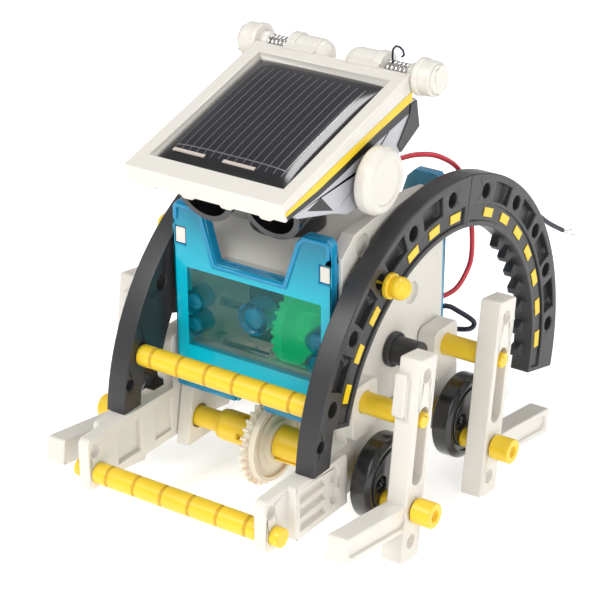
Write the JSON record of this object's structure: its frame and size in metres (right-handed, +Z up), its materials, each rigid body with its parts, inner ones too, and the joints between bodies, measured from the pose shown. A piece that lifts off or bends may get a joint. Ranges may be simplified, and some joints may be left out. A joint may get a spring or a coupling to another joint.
{
  "type": "solar robot kit",
  "caption": "Walking toy robot with a tilting solar-panel head, clear tinted housing, gear train, cranked legs and arched wheel guards.",
  "frame": {"origin": "middle of the footprint, at the surface that the feet stand on", "axes": "+Z up, -Y towards the face of the robot, +X towards the side with the output socket"},
  "size_m": [0.0918, 0.1316, 0.1022],
  "materials": {
    "white": "satin moulded",
    "aqua": "clear tinted",
    "steel": "plated",
    "charcoal": "satin moulded",
    "green": "moulded",
    "tan": "moulded",
    "yellow": "satin moulded",
    "sticker": "printed film",
    "silver": "metallic film",
    "cell": "clear resin over a dark cell",
    "eye_black": "moulded",
    "red_wire": "soft insulation",
    "dark_wire": "soft insulation"
  },
  "bodies": {
    "chassis": {"side_frame_left": "white", "side_frame_right": "white", "top_deck": "white", "motor_mount": "white", "front_cover": "aqua", "rear_cover": "aqua", "latch_tabs": "white", "front_plate": "white", "output_socket": "charcoal", "motor_can": "steel", "gear_axles": "steel", "guide_pins": "yellow", "rail_left": "white", "rail_right": "white", "lower_front_rod": "yellow", "upper_front_rod": "yellow", "arch_front_left": "charcoal", "arch_front_right": "charcoal", "arch_rear_left": "charcoal", "arch_rear_right": "charcoal", "arch_stripes": "sticker", "arch_pins": "yellow", "neck_post": "white", "neck_base": "charcoal", "red_lead": "red_wire", "black_lead": "dark_wire", "loose_lead": "dark_wire"},
    "head": {"head_frame": "white", "head_shell": "silver", "side_trim": "sticker", "solar_panel": "cell", "eye_left": "eye_black", "eye_right": "eye_black", "ear_left": "white", "ear_right": "white", "terminal_knobs": "white", "terminal_springs": "steel"},
    "front_drive": {"front_shaft_left": "yellow", "front_shaft_right": "yellow", "drive_gear": "tan", "transfer_gear_front": "white", "wheel_front_left": "charcoal", "wheel_front_right": "charcoal", "crank_front_left": "yellow", "crank_front_right": "yellow"},
    "rear_drive": {"rear_shaft": "yellow", "transfer_gear_rear": "white", "wheel_rear_left": "charcoal", "wheel_rear_right": "charcoal", "crank_rear_left": "yellow", "crank_rear_right": "yellow"},
    "transfer": {"transfer_idler": "white"},
    "idler": {"idler_gear": "white"},
    "crown": {"crown_gear": "green"},
    "pinion": {"motor_pinion": "white"},
    "leg_fl": {"leg_front_left": "white"},
    "leg_fr": {"leg_front_right": "white"},
    "leg_rl": {"leg_rear_left": "white"},
    "leg_rr": {"leg_rear_right": "white"}
  },
  "joints": [
    {"name": "head_tilt", "type": "hinge", "parent": "chassis", "child": "head", "pos_m": [-0.0011, -0.01485, 0.08139], "axis": [1, 0, 0], "range_deg": [-20, 0]},
    {"name": "drive_spin", "type": "hinge", "parent": "chassis", "child": "front_drive", "pos_m": [-0.0011, -0.02465, 0.01629], "axis": [1, 0, 0], "range_deg": [-25, 115]},
    {"name": "rear_spin", "type": "hinge", "parent": "chassis", "child": "rear_drive", "pos_m": [-0.0011, 0.00935, 0.01629], "axis": [1, 0, 0], "range_deg": [-26, 116]},
    {"name": "transfer_spin", "type": "hinge", "parent": "chassis", "child": "transfer", "pos_m": [-0.0011, -0.00765, 0.01629], "axis": [1, 0, 0], "range_deg": [-106, 24]},
    {"name": "idler_spin", "type": "hinge", "parent": "chassis", "child": "idler", "pos_m": [-0.0011, -0.01701, 0.03218], "axis": [1, 0, 0], "range_deg": [-169, 38]},
    {"name": "crown_spin", "type": "hinge", "parent": "chassis", "child": "crown", "pos_m": [-0.0011, -0.01765, 0.04329], "axis": [1, 0, 0], "range_deg": [-68, 308]},
    {"name": "pinion_spin", "type": "hinge", "parent": "chassis", "child": "pinion", "pos_m": [-0.00037, 0.00685, 0.04329], "axis": [0, 1, 0], "range_deg": [-921, 201]},
    {"name": "leg_fl_rock", "type": "hinge", "parent": "front_drive", "child": "leg_fl", "pos_m": [-0.0011, -0.02773, 0.01261], "axis": [1, 0, 0], "range_deg": [-93, 21]},
    {"name": "leg_fr_rock", "type": "hinge", "parent": "front_drive", "child": "leg_fr", "pos_m": [-0.0011, -0.02773, 0.01261], "axis": [1, 0, 0], "range_deg": [-93, 21]},
    {"name": "leg_rl_rock", "type": "hinge", "parent": "rear_drive", "child": "leg_rl", "pos_m": [-0.0011, 0.00626, 0.01261], "axis": [1, 0, 0], "range_deg": [-93, 21]},
    {"name": "leg_rr_rock", "type": "hinge", "parent": "rear_drive", "child": "leg_rr", "pos_m": [-0.0011, 0.00626, 0.01261], "axis": [1, 0, 0], "range_deg": [-93, 21]}
  ],
  "couplings": [
    {"joint": "rear_spin", "follows": "drive_spin", "ratio": 1},
    {"joint": "transfer_spin", "follows": "drive_spin", "ratio": -0.90909},
    {"joint": "idler_spin", "follows": "drive_spin", "ratio": -1.4545},
    {"joint": "crown_spin", "follows": "drive_spin", "ratio": 2.6667},
    {"joint": "pinion_spin", "follows": "drive_spin", "ratio": -8},
    {"joint": "leg_fl_rock", "follows": "drive_spin", "ratio": -0.795},
    {"joint": "leg_fr_rock", "follows": "drive_spin", "ratio": -0.795},
    {"joint": "leg_rl_rock", "follows": "drive_spin", "ratio": -0.795},
    {"joint": "leg_rr_rock", "follows": "drive_spin", "ratio": -0.795}
  ]
}
